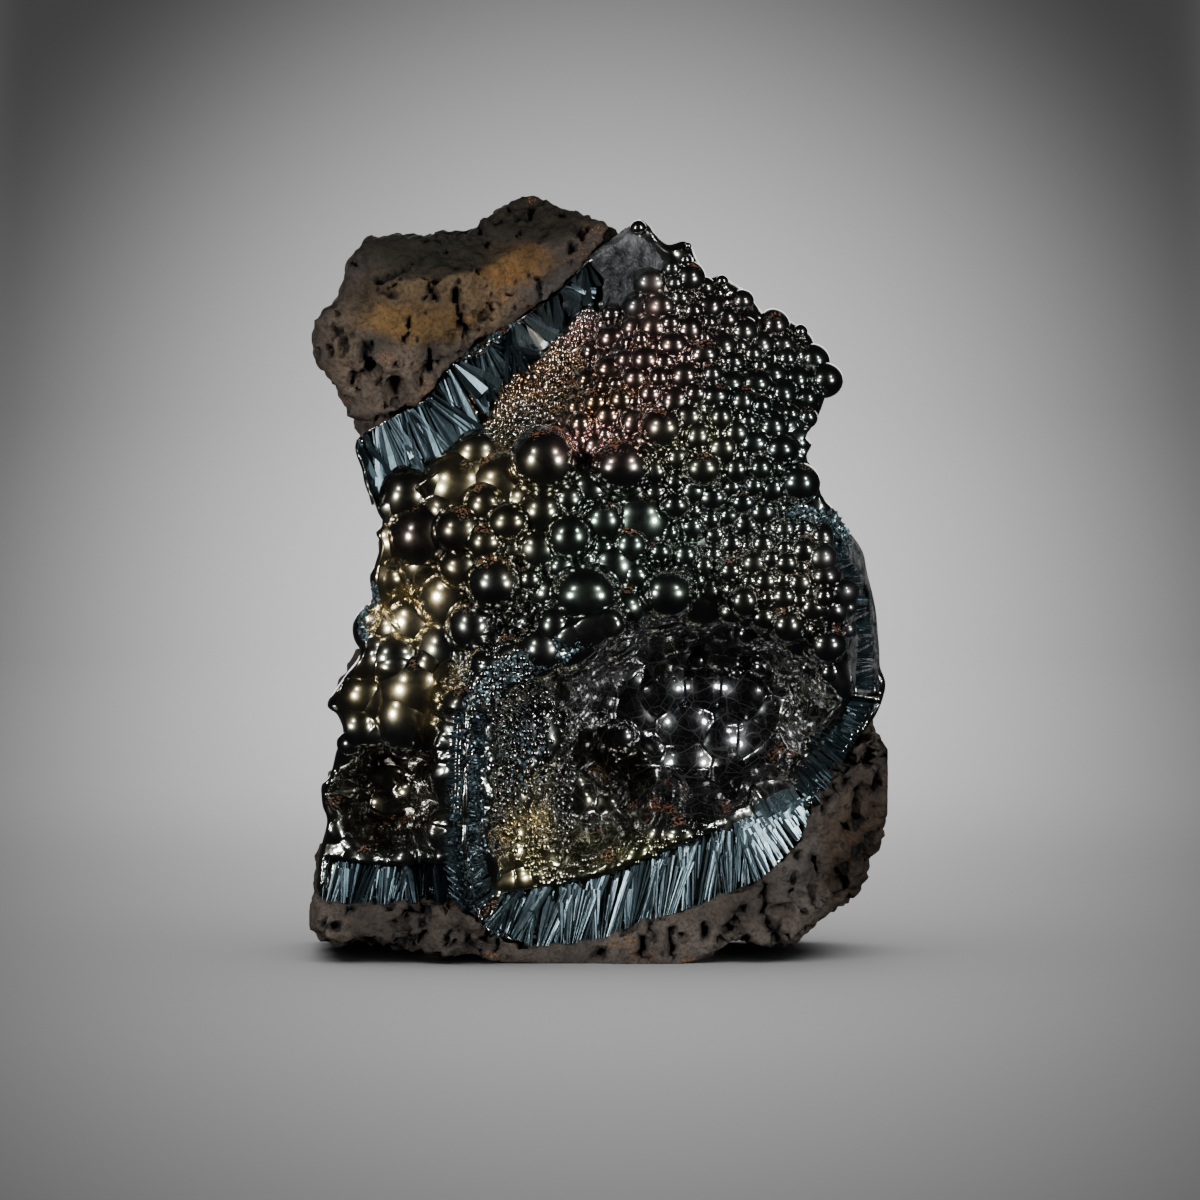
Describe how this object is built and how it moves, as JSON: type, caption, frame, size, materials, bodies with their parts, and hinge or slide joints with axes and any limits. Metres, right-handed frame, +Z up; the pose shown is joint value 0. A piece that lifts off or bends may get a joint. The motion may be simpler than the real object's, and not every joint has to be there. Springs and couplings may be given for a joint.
{
  "type": "goethite mineral specimen",
  "caption": "Upright broken piece of a hollow nodule: a dull porous rock with a glossy bubbly crust lining two basins, its broken edge showing radiating needles.",
  "frame": {"origin": "under the middle of the specimen's box, on the surface that it stands on", "axes": "+Z up along its height, its longest side; +Y away from the viewer through its thickness, its shortest side; the crust and basins face -Y"},
  "size_m": [0.091, 0.0488, 0.12],
  "materials": {
    "matrix": "dull brown-grey porous limonite with black vugs and ochre stains",
    "crust": "near-black metallic skin with bronze, gold and teal tarnish; silky blue-grey needles where it is broken"
  },
  "bodies": {
    "root": {"limonite_matrix": "matrix", "goethite_crust": "crust"}
  },
  "joints": []
}
